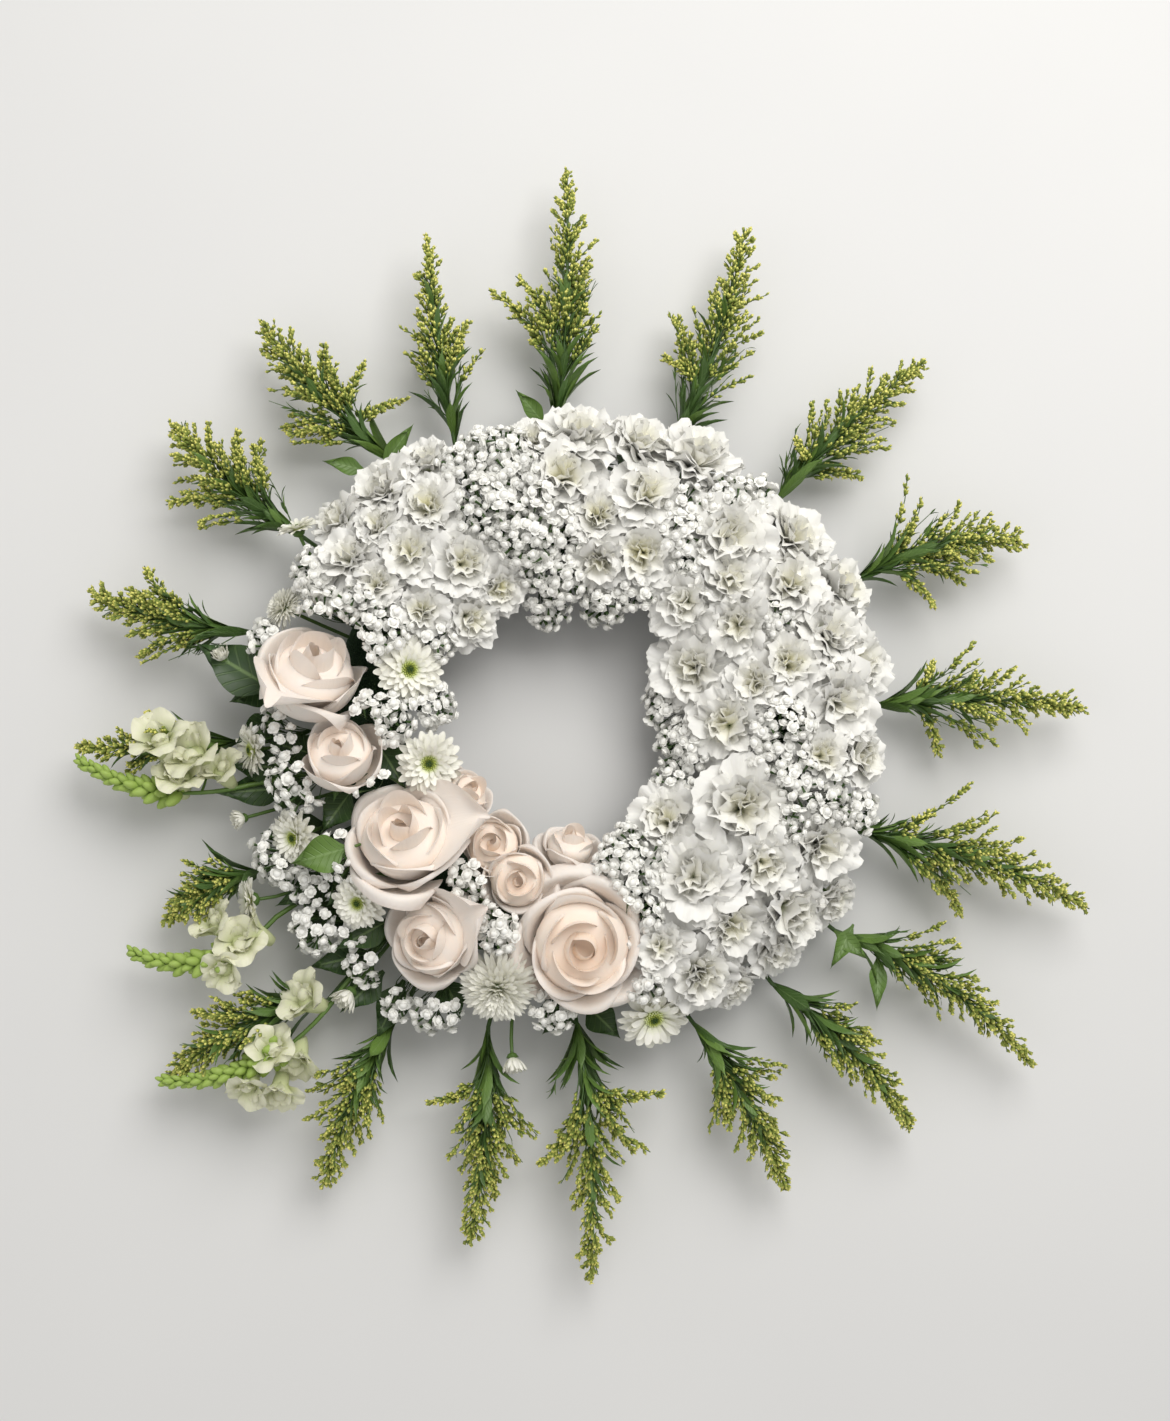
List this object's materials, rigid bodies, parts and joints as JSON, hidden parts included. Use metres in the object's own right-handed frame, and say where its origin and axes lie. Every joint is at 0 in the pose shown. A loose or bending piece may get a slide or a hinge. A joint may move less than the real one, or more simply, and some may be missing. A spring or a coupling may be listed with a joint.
{
  "type": "funeral wreath",
  "caption": "Round standing-size funeral wreath of white and blush cut flowers on a foam ring, with goldenrod sprays radiating from its rim.",
  "frame": {"origin": "centre of the ring, on the flat surface that the tray's underside rests on", "axes": "+Z out of the wreath's front, +Y towards its top as it is displayed, +X to its right seen from the front"},
  "size_m": [0.9083, 1.004, 0.1486],
  "materials": {
    "tray_plastic": "moulded dark green plastic, satin",
    "floral_foam": "open-celled wet floral foam, dull green",
    "rose_petal": "velvety blush cream petals with peach hearts",
    "chrysanthemum_petal": "matt white petals with lime hearts",
    "carnation_petal": "crumpled matt white petals, greenish cream at the heart",
    "snapdragon_petal": "pale green-white florets and lime buds, waxy",
    "leaf_green": "glossy deep green leaf, paler veins",
    "goldenrod_bud": "tiny yellow-green buds on mid green stems",
    "babys_breath_bloom": "tiny double white blooms on thin dark stems"
  },
  "bodies": {
    "root": {"base_tray": "tray_plastic", "foam_ring": "floral_foam", "rose_01": "rose_petal", "rose_02": "rose_petal", "rose_03": "rose_petal", "rose_04": "rose_petal", "rose_05": "rose_petal", "rose_06": "rose_petal", "rose_07": "rose_petal", "rose_08": "rose_petal", "rose_09": "rose_petal", "chrysanthemum_01": "chrysanthemum_petal", "chrysanthemum_02": "chrysanthemum_petal", "chrysanthemum_03": "chrysanthemum_petal", "chrysanthemum_04": "chrysanthemum_petal", "chrysanthemum_05": "chrysanthemum_petal", "chrysanthemum_06": "chrysanthemum_petal", "chrysanthemum_07": "chrysanthemum_petal", "chrysanthemum_08": "chrysanthemum_petal", "chrysanthemum_09": "chrysanthemum_petal", "carnation_spray_01": "carnation_petal", "carnation_spray_02": "carnation_petal", "carnation_spray_03": "carnation_petal", "carnation_spray_04": "carnation_petal", "carnation_spray_05": "carnation_petal", "carnation_spray_06": "carnation_petal", "carnation_spray_07": "carnation_petal", "carnation_spray_08": "carnation_petal", "carnation_spray_09": "carnation_petal", "carnation_spray_10": "carnation_petal", "snapdragon_01": "snapdragon_petal", "snapdragon_02": "snapdragon_petal", "snapdragon_03": "snapdragon_petal", "leaf_dark": "leaf_green", "leaf_rose": "leaf_green", "goldenrod_01": "goldenrod_bud", "goldenrod_02": "goldenrod_bud", "goldenrod_03": "goldenrod_bud", "goldenrod_04": "goldenrod_bud", "goldenrod_05": "goldenrod_bud", "goldenrod_06": "goldenrod_bud", "goldenrod_07": "goldenrod_bud", "goldenrod_08": "goldenrod_bud", "goldenrod_09": "goldenrod_bud", "goldenrod_10": "goldenrod_bud", "goldenrod_11": "goldenrod_bud", "goldenrod_12": "goldenrod_bud", "goldenrod_13": "goldenrod_bud", "goldenrod_14": "goldenrod_bud", "goldenrod_15": "goldenrod_bud", "goldenrod_16": "goldenrod_bud", "goldenrod_17": "goldenrod_bud", "goldenrod_18": "goldenrod_bud", "goldenrod_19": "goldenrod_bud", "babys_breath_01": "babys_breath_bloom", "babys_breath_02": "babys_breath_bloom", "babys_breath_03": "babys_breath_bloom", "babys_breath_04": "babys_breath_bloom", "babys_breath_05": "babys_breath_bloom", "babys_breath_06": "babys_breath_bloom"}
  },
  "joints": []
}
